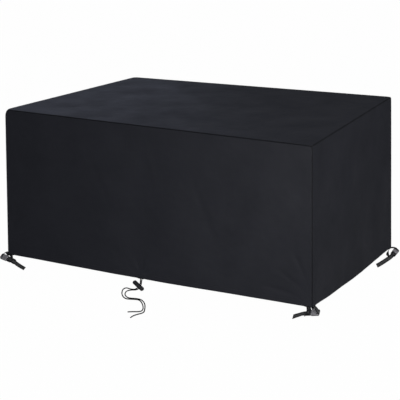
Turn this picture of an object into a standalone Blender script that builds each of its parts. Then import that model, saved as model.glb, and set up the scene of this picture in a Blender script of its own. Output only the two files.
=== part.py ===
"""A fitted, box-shaped cover for patio furniture, as it hangs over what it protects.

Five cloth panels overlap at their seams. A 20 mm strap with a side-release buckle hangs at each
bottom corner, and a drawstring leaves the front hem through a bar-shaped cord lock.
Metres, +Z up. The origin is the middle of the underside of the top. The front faces -Y.
"""

import math
from collections import namedtuple

import bmesh
import bpy
from mathutils import Matrix, Vector

MM = 0.001
PART = "patio_furniture_cover"

# The cover as cut and sewn.
LENGTH = 1.520
WIDTH = 1.040
DROP = 0.710
CLOTH = 0.002
GAP = 0.0003
TOP_Z = CLOTH
HEM_Z = TOP_Z - DROP
FLOOR_Z = HEM_Z - 0.057

# Seams: the allowance of one panel lies behind its neighbour, one layer and a gap further in.
LAP = CLOTH + GAP
FOLD_R = 0.0024
ALLOWANCE = 0.012
SIDE_SEAM_TOP = TOP_Z - 0.022
WALL_TOP = TOP_Z - FOLD_R - 0.0001
END_WALL_EDGE = FOLD_R + 0.0001
EIGHTH_TURN = math.radians(45)

# The hem turns up inside as a channel, except at the straps and where the drawstring leaves it.
HEM_R = 0.0049
CHANNEL_TOP = HEM_Z + 0.020
HEM_CLOSED = HEM_Z + 0.028
HEM_END = HEM_Z + 0.034
CORNER_CLEAR = 0.035
SNIP = 0.0015
CORD_EXIT_X = -0.041
CORD_EXIT_HALF = 0.015

# Where each corner of the ideal box has settled, in millimetres.
SETTLED_MM = {
    (-1, -1, 1): (-3, -5, -9),
    (-1, 1, 1): (22, 16, 12),
    (1, 1, 1): (-35, -9, 23),
    (1, -1, 1): (15, 1, -26),
    (-1, -1, -1): (-24, -4, 2),
    (1, -1, -1): (24, 22, 2),
    (1, 1, -1): (2, -21, -4),
    (-1, 1, -1): (-10, 10, 0),
}

# Soft ridges and hollows of the cloth. Places and reaches are metres on the panel.
Ridge = namedtuple("Ridge", "along up reach_along reach_up slant height")
FRONT_RIDGES = (
    Ridge(-0.58, -0.30, 0.07, 0.22, 0.10, 0.004),
    Ridge(-0.44, -0.42, 0.08, 0.24, -0.10, -0.004),
    Ridge(-0.22, -0.30, 0.10, 0.26, 0.15, 0.003),
    Ridge(-0.05, -0.58, 0.06, 0.12, 0.10, -0.004),
    Ridge(0.14, -0.36, 0.12, 0.28, -0.12, 0.003),
    Ridge(0.38, -0.42, 0.09, 0.24, 0.10, -0.004),
    Ridge(0.60, -0.40, 0.07, 0.24, -0.08, 0.003),
)
BACK_RIDGES = (
    Ridge(-0.50, -0.40, 0.10, 0.26, 0.10, 0.004),
    Ridge(-0.10, -0.36, 0.12, 0.28, -0.12, -0.004),
    Ridge(0.34, -0.42, 0.10, 0.24, 0.10, 0.004),
)
RIGHT_RIDGES = (
    Ridge(-0.30, -0.40, 0.07, 0.24, 0.08, -0.003),
    Ridge(-0.06, -0.36, 0.09, 0.26, -0.10, 0.004),
    Ridge(0.22, -0.44, 0.08, 0.24, 0.10, -0.003),
)
LEFT_RIDGES = (
    Ridge(-0.20, -0.38, 0.09, 0.26, 0.10, 0.004),
    Ridge(0.18, -0.42, 0.09, 0.24, -0.10, -0.004),
)
TOP_RIDGES = (
    Ridge(-0.42, 0.10, 0.16, 0.20, 0.25, -0.004),
    Ridge(0.06, -0.12, 0.18, 0.20, -0.20, 0.002),
    Ridge(0.46, 0.10, 0.16, 0.20, 0.20, -0.004),
)

# bulge is how far the hem stands out at mid-wall, droop how far it hangs lower there.
Wall = namedtuple("Wall", "name across out half reach columns bulge droop ridges wraps")
WALLS = (
    Wall("front_panel", (1, 0, 0), (0, -1, 0), LENGTH / 2, WIDTH / 2, 12, 0.002, 0.005, FRONT_RIDGES, True),
    Wall("back_panel", (-1, 0, 0), (0, 1, 0), LENGTH / 2, WIDTH / 2, 12, 0.004, 0.004, BACK_RIDGES, True),
    Wall("left_panel", (0, -1, 0), (-1, 0, 0), WIDTH / 2, LENGTH / 2, 9, 0.006, 0.004, LEFT_RIDGES, False),
    Wall("right_panel", (0, 1, 0), (1, 0, 0), WIDTH / 2, LENGTH / 2, 9, 0.008, 0.005, RIGHT_RIDGES, False),
)
WALL_ROWS = 7
RIDGE_FADE = 0.09

# Webbing and its buckle. Buckle sizes are millimetres from the fold end of its long axis.
WEB_HALF = 0.0100
WEB_THICK = 0.0016
ROOT_MM = (30, 14, -3)
BUCKLE_HALF_MM = 14.0
SLOT_HALF_MM = 10.7
BUCKLE_THICK_MM = 5.0
BAR_HALF_MM = 1.6
END_BAR_MM = 3.2
MIDDLE_BAR_MM = 51.0
LAST_BAR_MM = 58.6
WRAP_MM = 3.05
WRAP_CORNER_MM = 3.75
USUAL_FOLD_MM = -38

# Where the fixed strap passes over the buckle: how far along it from the corner, and from its end.
CORNER_TO_OVER_MM = 10
OVER_END_MM = 7.8

# The drawstring and its lock.
CORD_D = 0.005
CORD_APART = 0.0062
LOCK_LENGTH = 0.061
LOCK_WIDTH = 0.017
LOCK_THICK = 0.012
LOCK_TILT = math.radians(33.7)
LOCK_PLACE = Vector((-0.0526, -0.5160, FLOOR_Z + 0.0217))
LOCK_HOLES_OFF = 0.0050
LOCK_RIB = 0.0006

# The two cords on the floor, from the lock to their ends: X and Y in millimetres.
LEFT_CORD_FLOOR_MM = (
    (-80, -523.5), (-92, -524.5), (-104, -521), (-114, -523), (-117, -535), (-112, -553),
    (-103, -571), (-92, -589.5), (-79, -607.5), (-64, -624), (-49, -636.5), (-33, -643.5),
    (-16, -640.5), (0, -634), (15, -630.5), (29, -634), (43.5, -645.5), (58, -660.5),
    (72.5, -678), (86, -696), (97, -714), (105, -731), (106.5, -746), (98.5, -757),
    (86, -764.5), (74, -772), (62.7, -781),
)
RIGHT_CORD_FLOOR_MM = (
    (-72, -530.5), (-80.5, -538), (-86, -548.5), (-86.5, -561), (-82.5, -575), (-75, -590),
    (-65, -604.5), (-52, -617.5), (-37, -627), (-22, -628.5), (-7, -624), (8, -620),
    (24, -621.5), (40, -630), (56, -643.5), (71, -660), (84, -678), (96, -697),
    (107, -716), (117, -735), (123.5, -752), (122, -768), (115.5, -783.5), (110.5, -799),
    (109, -815), (110.3, -831.7),
)

# Tail of the adjusting strap: along the wall, out from it and up, in millimetres from the
# settled corner, and how steeply the webbing's width leans.
Tail = namedtuple("Tail", "along out up lean")
NEAR_TAIL = (
    Tail(38, 13.0, -31.5, 42), Tail(50, 13.8, -36.0, 46), Tail(62, 14.6, -40.6, 50),
    Tail(72, 15.3, -44.4, 54), Tail(80, 16.0, -47.4, 56),
)
LEFT_TAIL = (
    Tail(51, 13.0, -31.5, 38), Tail(66, 14.0, -36.8, 36), Tail(82, 15.0, -42.0, 33),
    Tail(98, 15.8, -46.2, 30), Tail(113, 16.4, -49.6, 28),
)
RIGHT_TAIL = (
    Tail(40, 11.0, -30.0, 42), Tail(68, 7.0, -34.6, 48), Tail(98, 3.0, -38.2, 53),
    Tail(130, -1.0, -41.0, 57), Tail(158, -4.0, -42.8, 59), Tail(180, -6.0, -43.4, 60),
)

# How the adjusting strap turns on its way from the hem to the buckle: millimetres from its sewn
# middle, degrees, and the share of the buckle's own shift that each place takes.
Twist = namedtuple("Twist", "along out up turn lean share")
TWISTS = (
    Twist(0.3, -2.4, -9.0, 8, 0, 0),
    Twist(1.2, -5.0, -17.0, 30, 0, 0.15),
    Twist(4.4, -5.6, -25.0, 58, 6, 0.45),
    Twist(9.2, -2.6, -31.8, 82, 18, 0.8),
    Twist(12.4, 3.2, -35.6, 90, 30, 1),
    Twist(12.0, 8.2, -36.4, 90, 38, 1),
)

# sign is the corner of the box, along the wall that the tail follows, out the other way. sewn says
# where the straps start, in millimetres: how far inside the cloth's face the adjusting strap lies
# and how far from the corner, then the same for the fixed one. fold_mm is how far along the
# buckle's outer end lies, and rise_mm how much higher than usual it hangs.
Sewn = namedtuple("Sewn", "strap_in strap_from fixed_in fixed_from")
ON_LONG_WALL = Sewn(3.1, 8.0, 5.4, 4.6)
ON_SHORT_WALL = Sewn(5.4, 4.6, 3.1, 8.0)
Corner = namedtuple("Corner", "name sign along out sewn fold_mm rise_mm tail")
CORNERS = (
    Corner("corner_1", (1, -1), (-1, 0, 0), (0, -1, 0), ON_LONG_WALL, -38, 4, NEAR_TAIL),
    Corner("corner_2", (-1, -1), (1, 0, 0), (0, -1, 0), ON_LONG_WALL, -25, 4, LEFT_TAIL),
    Corner("corner_3", (1, 1), (0, -1, 0), (1, 0, 0), ON_SHORT_WALL, -36, -5, RIGHT_TAIL),
    Corner("corner_4", (-1, 1), (0, -1, 0), (-1, 0, 0), ON_SHORT_WALL, -38, 0, NEAR_TAIL),
)

# name: linear colour, roughness
FINISHES = {
    "coated_cloth": ((0.030, 0.031, 0.038, 1), 0.62),
    "webbing": ((0.012, 0.012, 0.014, 1), 0.75),
    "moulded_plastic": ((0.020, 0.020, 0.022, 1), 0.38),
    "round_cord": ((0.010, 0.010, 0.011, 1), 0.70),
}


def clear_scene():
    for thing in list(bpy.data.objects):
        bpy.data.objects.remove(thing, do_unlink=True)


def new_collection(name):
    collection = bpy.data.collections.new(name)
    bpy.context.scene.collection.children.link(collection)
    return collection


def finish_of(name):
    """The Principled material of that finish, made once."""
    if name in bpy.data.materials:
        return bpy.data.materials[name]
    colour, roughness = FINISHES[name]
    material = bpy.data.materials.new(name)
    material.use_nodes = True
    shader = material.node_tree.nodes["Principled BSDF"]
    shader.inputs["Base Color"].default_value = colour
    shader.inputs["Roughness"].default_value = roughness
    return material


def add_object(name, mesh, finish):
    thing = bpy.data.objects.new(name, mesh)
    bpy.data.collections[PART].objects.link(thing)
    mesh.materials.clear()
    mesh.materials.append(finish_of(finish))
    return thing


def mesh_from(shape, name):
    mesh = bpy.data.meshes.new(name)
    shape.to_mesh(mesh)
    shape.free()
    return mesh


def spread(first, last, steps):
    """Evenly spaced values from first to last."""
    return [first + (last - first) * step / steps for step in range(steps + 1)]


def settled(place):
    """Where a place on the ideal box lies on the cover as it hangs."""
    shares = (place.x / LENGTH + 0.5, place.y / WIDTH + 0.5, (place.z - HEM_Z) / DROP)
    shift = Vector((0, 0, 0))
    for signs, corner_mm in SETTLED_MM.items():
        weight = 1.0
        for sign, share in zip(signs, shares):
            weight *= share if sign > 0 else 1 - share
        shift += weight * MM * Vector(corner_mm)
    return place + shift


def fade(share):
    """1 in the middle of a panel, falling to 0 at both its edges and flat there."""
    return (1 - min(abs(share), 1) ** 2) ** 2


def ridges_at(ridges, along, up):
    """How far the panel's ridges push it out at one place."""
    height = 0.0
    for ridge in ridges:
        off = along - ridge.along - ridge.slant * (up - ridge.up)
        height += ridge.height * math.exp(-((off / ridge.reach_along) ** 2) - ((up - ridge.up) / ridge.reach_up) ** 2)
    return height


def flat_grid(across, rows):
    """An open sheet in the plane of the pattern, X along it and Y up it, its face to +Z."""
    shape = bmesh.new()
    bmesh.ops.create_grid(shape, x_segments=len(across) - 1, y_segments=len(rows) - 1, size=1)
    for vert in shape.verts:
        column = round((vert.co.x + 1) / 2 * (len(across) - 1))
        row = round((vert.co.y + 1) / 2 * (len(rows) - 1))
        vert.co = Vector((across[column], rows[row], 0))
    return shape


def rim_edges(shape, chosen):
    """The open edges whose two ends both pass the test."""
    return [edge for edge in shape.edges if edge.is_boundary and all(chosen(vert.co) for vert in edge.verts)]


def turn_edge(shape, edges, moves):
    """Extrudes the edges once for each move, and returns the last new edges."""
    for move in moves:
        new = bmesh.ops.extrude_edge_only(shape, edges=edges)["geom"]
        for vert in (item for item in new if isinstance(item, bmesh.types.BMVert)):
            vert.co = move(vert.co)
        edges = [item for item in new if isinstance(item, bmesh.types.BMEdge)]


def fold_points(radius, turns):
    """(out along the sheet, in) after each eighth of a turn of a fold."""
    angles = [EIGHTH_TURN * (turn + 1) for turn in range(turns)]
    return [(radius * math.sin(angle), radius * (1 - math.cos(angle))) for angle in angles]


def add_thickness(thing, thickness, offset):
    solidify = thing.modifiers.new("thickness", "SOLIDIFY")
    solidify.thickness = thickness
    solidify.offset = offset
    solidify.use_even_offset = True


def face_outwards(shape):
    """Turns all faces one way, the way of the sheet's biggest face, which looks to +Z."""
    bmesh.ops.recalc_face_normals(shape, faces=shape.faces)
    shape.normal_update()
    biggest = max(shape.faces, key=lambda face: face.calc_area())
    if biggest.normal.z < 0:
        bmesh.ops.reverse_faces(shape, faces=shape.faces)


def hem_zones(wall):
    """The stretches of the hem that are turned up as a channel."""
    end = wall.half - CORNER_CLEAR - SNIP
    if wall.name != "front_panel":
        return [(-end, end)]
    return [
        (-end, CORD_EXIT_X - CORD_EXIT_HALF - SNIP),
        (CORD_EXIT_X + CORD_EXIT_HALF + SNIP, end),
    ]


def wall_columns(wall, edge):
    """Columns of points: the panel's edges, both sides of each snip and an even run between."""
    marks = {-edge, edge}
    for start, end in hem_zones(wall):
        marks |= {start, start - SNIP, end, end + SNIP}
    between = spread(-wall.half + CORNER_CLEAR, wall.half - CORNER_CLEAR, wall.columns)
    room = wall.half / wall.columns / 2
    marks |= {value for value in between if min(abs(value - mark) for mark in marks) > room}
    return sorted(marks)


def turn_up_hem(shape, wall):
    """Turns up the channel, and takes the plain stretches of the hem straight down."""
    foot = HEM_Z + HEM_R
    zones = hem_zones(wall)
    plain, channel = [], []
    for edge in rim_edges(shape, lambda point: abs(point.y - foot) < GAP):
        middle = (edge.verts[0].co.x + edge.verts[1].co.x) / 2
        if any(start < middle < end for start, end in zones):
            channel.append(edge)
        elif all(abs(middle - end) > SNIP for zone in zones for end in zone):
            plain.append(edge)
    turn_edge(shape, plain, [lambda point: Vector((point.x, HEM_Z, 0))])
    moves = [
        lambda point, out=out, deep=deep: Vector((point.x, foot - out, -deep))
        for out, deep in fold_points(HEM_R, 4)
    ]
    for height, deep in ((CHANNEL_TOP, 2 * HEM_R), (HEM_CLOSED, LAP + CLOTH), (HEM_END, LAP + CLOTH)):
        moves.append(lambda point, height=height, deep=deep: Vector((point.x, height, -deep)))
    turn_edge(shape, channel, moves)


def turn_in_sides(shape, edge):
    """Folds the side allowances in behind the neighbouring walls."""
    for side in (-1, 1):
        edges = rim_edges(shape, lambda point: abs(point.x - side * edge) < GAP and point.y < SIDE_SEAM_TOP + GAP)
        moves = [
            lambda point, out=out, deep=deep: Vector((side * (edge + out), point.y, -deep))
            for out, deep in fold_points(FOLD_R, 2)
        ]
        moves.append(lambda point: Vector((point.x, point.y, -FOLD_R - ALLOWANCE)))
        turn_edge(shape, edges, moves)


def hang_wall(wall, point):
    """A point of the wall's pattern as it hangs."""
    along, up, out = point
    side = fade(along / (wall.half - CORNER_CLEAR))
    down_share = min(max((SIDE_SEAM_TOP - up) / (SIDE_SEAM_TOP - HEM_Z), 0), 1)
    in_play = side * min(down_share / RIDGE_FADE, 1)
    push = side * wall.bulge * down_share**2 + in_play * ridges_at(wall.ridges, along, up)
    ideal = Vector(wall.across) * along + Vector(wall.out) * (wall.reach + out)
    hung = settled(Vector((ideal.x, ideal.y, up)))
    return hung + Vector(wall.out) * push - Vector((0, 0, side * wall.droop * down_share))


def make_wall(wall):
    edge = wall.half - (LAP + FOLD_R if wall.wraps else END_WALL_EDGE)
    rows = [HEM_Z + HEM_R] + spread(HEM_END + SNIP, SIDE_SEAM_TOP, WALL_ROWS) + [WALL_TOP]
    shape = flat_grid(wall_columns(wall, edge), rows)
    turn_up_hem(shape, wall)
    if wall.wraps:
        turn_in_sides(shape, edge)
    face_outwards(shape)
    for vert in shape.verts:
        vert.co = hang_wall(wall, vert.co.copy())
    panel = add_object(wall.name, mesh_from(shape, wall.name), "coated_cloth")
    add_thickness(panel, CLOTH, -1)


def hang_top(point):
    """A point of the top's pattern as it lies, sunk a little between its edges."""
    side = fade(point.x / (LENGTH / 2 - CORNER_CLEAR)) * fade(point.y / (WIDTH / 2 - CORNER_CLEAR))
    push = side**0.5 * ridges_at(TOP_RIDGES, point.x, point.y)
    return settled(Vector((point.x, point.y, TOP_Z + point.z))) + Vector((0, 0, push))


def make_top():
    half_x = LENGTH / 2 - LAP - FOLD_R
    half_y = WIDTH / 2 - LAP - FOLD_R
    inner_x = spread(-half_x + CORNER_CLEAR, half_x - CORNER_CLEAR, 12)
    inner_y = spread(-half_y + CORNER_CLEAR, half_y - CORNER_CLEAR, 8)
    shape = flat_grid([-half_x] + inner_x + [half_x], [-half_y] + inner_y + [half_y])

    def tray(point, out, deep):
        x, y = point.x, point.y
        if abs(x) > half_x - GAP:
            x = math.copysign(half_x + out, x)
        if abs(y) > half_y - GAP:
            y = math.copysign(half_y + out, y)
        return Vector((x, y, -deep))

    moves = [lambda point, out=out, deep=deep: tray(point, out, deep) for out, deep in fold_points(FOLD_R, 2)]
    moves.append(lambda point: tray(point, FOLD_R, FOLD_R + ALLOWANCE))
    turn_edge(shape, rim_edges(shape, lambda point: True), moves)
    face_outwards(shape)
    for vert in shape.verts:
        vert.co = hang_top(vert.co.copy())
    panel = add_object("top_panel", mesh_from(shape, "top_panel"), "coated_cloth")
    add_thickness(panel, CLOTH, -1)


def corner_place(corner):
    """The outer bottom corner of the cloth as it hangs."""
    return settled(Vector((corner.sign[0] * LENGTH / 2, corner.sign[1] * WIDTH / 2, HEM_Z)))


def from_corner(corner, along_mm, out_mm, up_mm):
    """A place given in millimetres from the settled corner."""
    flat = Vector(corner.along) * along_mm + Vector(corner.out) * out_mm
    return corner_place(corner) + MM * (flat + Vector((0, 0, up_mm)))


def on_wall(corner, along_mm, out_mm, up_mm):
    """The same, but on the wall, which leans and is not square to the corner."""
    ideal = Vector((corner.sign[0] * LENGTH / 2, corner.sign[1] * WIDTH / 2, HEM_Z))
    ideal += MM * (Vector(corner.along) * along_mm + Vector(corner.out) * out_mm + Vector((0, 0, up_mm)))
    return settled(ideal)


def buckle_matrix(corner):
    """Long axis, width and thickness of the buckle, and its fold end, in the world."""
    start = from_corner(corner, corner.fold_mm, 15, corner.rise_mm - 12)
    axis = (from_corner(corner, corner.fold_mm + 60, 15, corner.rise_mm - 24) - start).normalized()
    up = Vector(corner.out) * math.sin(math.radians(40)) + Vector((0, 0, math.cos(math.radians(40))))
    width = up.cross(axis).normalized()
    up = axis.cross(width)
    turned = Matrix((axis, width, up)).transposed().to_4x4()
    return Matrix.Translation(start) @ turned


def edges_across(matrix, u_mm, w_mm):
    """Both edges of the webbing where it crosses the buckle at (u, w)."""
    return [matrix @ Vector((u_mm * MM, side * WEB_HALF, w_mm * MM)) for side in (-1, 1)]


def edges_over(corner, matrix, u_mm, v_mm, w_mm, tilt):
    """Both edges over the buckle: v runs across it, away from the wall, and tilt lifts that edge."""
    hand = math.copysign(1, Vector(corner.out).dot(matrix.col[1].xyz))
    reach = WEB_HALF / MM * math.cos(math.radians(tilt))
    rise = WEB_HALF / MM * math.sin(math.radians(tilt))
    places = [(u_mm, hand * (v_mm + side * reach), w_mm + side * rise) for side in (-1, 1)]
    return [matrix @ (MM * Vector(place)) for place in places]


def edges_along(corner, along, out, up, lean):
    """Both edges of a webbing whose width leans outwards and down."""
    half_mm = WEB_HALF / MM
    reach = half_mm * math.cos(math.radians(lean))
    fall = half_mm * math.sin(math.radians(lean))
    return [from_corner(corner, along, out + side * reach, up - side * fall) for side in (-1, 1)]


def in_order(pairs):
    """Swaps the two edges of a pair where that keeps the webbing from crossing itself."""
    for before, pair in zip(pairs, pairs[1:]):
        straight = (pair[0] - before[0]).length + (pair[1] - before[1]).length
        crossed = (pair[1] - before[0]).length + (pair[0] - before[1]).length
        if crossed < straight:
            pair.reverse()
    return pairs


def rounded(pairs, steps):
    """A finer run of the same webbing, on a smooth curve through each edge."""
    edges = [smooth_route([pair[side] for pair in pairs], steps) for side in (0, 1)]
    return [list(pair) for pair in zip(*edges)]


def smooth_route(points, steps):
    """A smooth curve through the points, read at `steps` places on each span."""
    ends = [2 * points[0] - points[1]] + list(points) + [2 * points[-1] - points[-2]]
    route = []
    for before, start, end, after in zip(ends, ends[1:], ends[2:], ends[3:]):
        for step in range(steps):
            t = step / steps
            pull_a = (end - before) / 2
            pull_b = (after - start) / 2
            route.append(
                start * (2 * t**3 - 3 * t**2 + 1) + pull_a * (t**3 - 2 * t**2 + t)
                + end * (3 * t**2 - 2 * t**3) + pull_b * (t**3 - t**2)
            )
    return route + [points[-1]]


def make_webbing(name, pairs):
    """A strap from the pairs of its edges."""
    in_order(pairs)
    shape = flat_grid([0, 1], [float(row) for row in range(len(pairs))])
    for vert in shape.verts:
        vert.co = pairs[round(vert.co.y)][round(vert.co.x)]
    strap = add_object(name, mesh_from(shape, name), "webbing")
    add_thickness(strap, WEB_THICK, 0)


def root_pairs(corner, spots):
    """The sewn end of a strap on the inside of a wall. Each spot gives its two edges."""
    return [[on_wall(corner, *first, up), on_wall(corner, *second, up)] for up, first, second in spots]


def bar_wrap(bar_mm, quarters):
    """(u, w) of a webbing round a bar: each place is a quarter turn counted in eighths."""
    places = []
    for eighth in quarters:
        reach = WRAP_CORNER_MM if eighth % 2 else WRAP_MM
        places.append((bar_mm + reach * math.cos(eighth * EIGHTH_TURN), reach * math.sin(eighth * EIGHTH_TURN)))
    return places


def make_fixed_strap(corner, matrix):
    """Sewn to the wall beside the corner, led out over the socket and folded down round its end bar."""
    near, far = -corner.sewn.fixed_from, -corner.sewn.fixed_from - 2 * WEB_HALF / MM
    inside = corner.sewn.fixed_in
    pairs = root_pairs(corner, [(up, (inside, near), (inside, far)) for up in ROOT_MM])
    middle = (near + far) / 2
    hang = [
        edges_along(corner, inside - 1.4, middle + 0.6, -7.0, 0),
        edges_along(corner, inside - 8.4, middle + 2.8, -5.8, 2),
    ]
    beside = -corner.fold_mm - CORNER_TO_OVER_MM
    over = [
        edges_over(corner, matrix, beside, -26, 3.0, 34),
        edges_over(corner, matrix, (beside + OVER_END_MM) / 2, -16.5, 7.8, 19),
        edges_over(corner, matrix, OVER_END_MM, -6, 8.4, 7),
    ]
    lead = rounded(in_order(pairs[2:] + hang + over), 2)
    wrap = [(END_BAR_MM + 0.5, 6.3), (END_BAR_MM - 3.1, 5.0)]
    wrap += bar_wrap(END_BAR_MM, (4, 5, 6, 7, 8))
    wrap.append((END_BAR_MM + WRAP_MM, 2.2))
    make_webbing(corner.name + "_fixed_strap", pairs[:2] + lead + [edges_across(matrix, u, w) for u, w in wrap])


def make_adjusting_strap(corner, matrix):
    """Sewn beside the other strap, turned under the ladder, threaded through it and left to trail."""
    near = corner.sewn.strap_from
    far = near + 2 * WEB_HALF / MM
    inside = -corner.sewn.strap_in
    pairs = root_pairs(corner, [(up, (near, inside), (far, inside)) for up in ROOT_MM])
    middle = (near + far) / 2
    turned = []
    for twist in TWISTS:
        turn, lean = math.radians(twist.turn), math.radians(twist.lean)
        across = Vector((math.cos(turn), math.sin(turn) * math.cos(lean), -math.sin(turn) * math.sin(lean)))
        moved = twist.share * (corner.fold_mm - USUAL_FOLD_MM)
        up = twist.up + twist.share * corner.rise_mm
        spot = Vector((middle + twist.along + moved, inside + twist.out, up))
        turned.append([from_corner(corner, *(spot + side * WEB_HALF / MM * across)) for side in (-1, 1)])
    under = [edges_across(matrix, u, w) for u, w in ((64.6, -7.8), (60.0, -6.2))]
    lead = rounded(in_order(pairs[2:] + turned + under), 2)
    thread = [(55.5, -5.9), (51.0, -5.7), (48.6, -4.3)]
    thread += bar_wrap(MIDDLE_BAR_MM, (4, 3, 2, 1, 0))
    thread += [(54.6, -2.1), (56.4, -3.2), (LAST_BAR_MM, -3.3), (61.4, -3.5)]
    threaded = [edges_across(matrix, u, w) for u, w in thread]
    tail = []
    for spot, rise in zip(corner.tail, spread(corner.rise_mm, 0, len(corner.tail) - 1)):
        tail.append(edges_along(corner, spot.along, spot.out, spot.up + rise, spot.lean))
    trail = rounded(in_order([threaded[-1]] + tail), 2)
    make_webbing(corner.name + "_adjusting_strap", pairs[:2] + lead + threaded[:-1] + trail)


def box_shape(low, high, bevel=0.0):
    """A box between two corners in millimetres, its edges bevelled."""
    shape = bmesh.new()
    bmesh.ops.create_cube(shape, size=1)
    size = Vector(high) - Vector(low)
    middle = (Vector(high) + Vector(low)) / 2
    for vert in shape.verts:
        vert.co = MM * Vector((vert.co.x * size.x, vert.co.y * size.y, vert.co.z * size.z)) + MM * middle
    if bevel:
        bmesh.ops.bevel(shape, geom=shape.edges[:], offset=bevel * MM, segments=1, affect="EDGES")
    return shape


def add_cutter(name, shape):
    cutter = bpy.data.objects.new(name, mesh_from(shape, name))
    bpy.data.collections["cutters"].objects.link(cutter)
    cutter.hide_render = True
    cutter.display_type = "WIRE"
    return cutter


def join_or_cut(thing, name, shape, operation):
    boolean = thing.modifiers.new(name, "BOOLEAN")
    boolean.operation = operation
    boolean.solver = "EXACT"
    boolean.object = add_cutter(thing.name + "_" + name, shape)


def baked(thing, name):
    """The finished mesh of a thing with all its modifiers, and the thing removed."""
    mesh = bpy.data.meshes.new_from_object(thing.evaluated_get(bpy.context.evaluated_depsgraph_get()))
    mesh.name = name
    bpy.data.objects.remove(thing, do_unlink=True)
    return mesh


def socket_mesh():
    """The female half: a flat box with an end bar, a mouth and two side windows."""
    half, thick, room = BUCKLE_HALF_MM, BUCKLE_THICK_MM, SLOT_HALF_MM
    shell = mesh_from(box_shape((1.4, -half, -thick), (36, half, thick), 1.4), "socket")
    body = add_object("socket", shell, "moulded_plastic")
    join_or_cut(body, "slot", box_shape((5.0, -room, -9), (9.6, room, 9)), "DIFFERENCE")
    for name, low, high in (("bar_top", BAR_HALF_MM, 9), ("bar_under", -9, -BAR_HALF_MM)):
        join_or_cut(body, name, box_shape((-1, -room, low), (5.4, room, high)), "DIFFERENCE")
    join_or_cut(body, "mouth", box_shape((14, -room, -3.2), (40, room, 3.2)), "DIFFERENCE")
    for name, low, high in (("window_a", -20, 0.3 - room), ("window_b", room - 0.3, 20)):
        join_or_cut(body, name, box_shape((18, low, -2.9), (28, high, 2.9)), "DIFFERENCE")
    return baked(body, "buckle_socket")


def plug_mesh():
    """The male half: a base with two sprung prongs and a guide, and a ladder of two bars."""
    block = mesh_from(box_shape((36.5, -12, -4.5), (44, 12, 4.5), 1.2), "plug")
    base = add_object("plug", block, "moulded_plastic")
    join_or_cut(base, "guide", box_shape((21, -2.4, -2.4), (38, 2.4, 2.4)), "UNION")
    for side, name in ((-1, "a"), (1, "b")):
        low, high = sorted((side * 6.7, side * 9.9))
        join_or_cut(base, "prong_" + name, box_shape((16, low, -2.6), (38, high, 2.6)), "UNION")
        low, high = sorted((side * 9.0, side * 12.9))
        join_or_cut(base, "catch_" + name, box_shape((19.5, low, -2.3), (26.5, high, 2.3)), "UNION")
        low, high = sorted((side * 10.5, side * 13.3))
        join_or_cut(base, "arm_" + name, box_shape((42, low, -2.2), (60.2, high, 2.2)), "UNION")
    for bar in (MIDDLE_BAR_MM, LAST_BAR_MM):
        shape = box_shape((bar - BAR_HALF_MM, -11.5, -BAR_HALF_MM), (bar + BAR_HALF_MM, 11.5, BAR_HALF_MM))
        join_or_cut(base, "bar_{:.0f}".format(bar), shape, "UNION")
    return baked(base, "buckle_plug")


def make_corners():
    meshes = {"_socket": socket_mesh(), "_plug": plug_mesh()}
    for corner in CORNERS:
        matrix = buckle_matrix(corner)
        for ending, mesh in meshes.items():
            half = add_object(corner.name + ending, mesh, "moulded_plastic")
            half.matrix_world = matrix
        make_fixed_strap(corner, matrix)
        make_adjusting_strap(corner, matrix)


def lock_matrix():
    """The lock's long axis runs down to the right, and its holes run across it."""
    return Matrix.Translation(LOCK_PLACE) @ Matrix.Rotation(LOCK_TILT, 4, "Y")


def make_lock():
    """A flat bar with round ends, a rib from end to end and two holes for the cords."""
    half = Vector((LOCK_LENGTH, LOCK_THICK, LOCK_WIDTH)) / 2
    shape = box_shape(-half / MM, half / MM)
    ends = [edge for edge in shape.edges if abs((edge.verts[0].co - edge.verts[1].co).y) > LOCK_THICK / 2]
    bmesh.ops.bevel(shape, geom=ends, offset=LOCK_WIDTH * 0.48, segments=5, affect="EDGES", profile=0.5)
    lock = add_object("cord_lock", mesh_from(shape, "cord_lock"), "moulded_plastic")
    lock.matrix_world = lock_matrix()
    soften = lock.modifiers.new("soft_edges", "BEVEL")
    soften.width = 0.0015
    soften.segments = 2
    soften.limit_method = "ANGLE"
    rib_half = Vector((half.x - LOCK_WIDTH / 3, LOCK_RIB, 0.0014))
    rib_middle = Vector((0, -half.y, 0))
    rib = box_shape((rib_middle - rib_half) / MM, (rib_middle + rib_half) / MM)
    join_or_cut(lock, "rib", rib, "UNION")
    bore = CORD_D / 2 + 1.3 * GAP
    for name, side in (("left_hole", -1), ("right_hole", 1)):
        hole = bmesh.new()
        place = Matrix.Translation((LOCK_HOLES_OFF + side * CORD_APART / 2, 0, 0))
        bmesh.ops.create_cone(
            hole, cap_ends=True, segments=16, radius1=bore, radius2=bore, depth=2 * LOCK_WIDTH, matrix=place
        )
        join_or_cut(lock, name, hole, "DIFFERENCE")
    for modifier in lock.modifiers:
        if modifier.type == "BOOLEAN":
            modifier.object.matrix_world = lock.matrix_world


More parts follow.
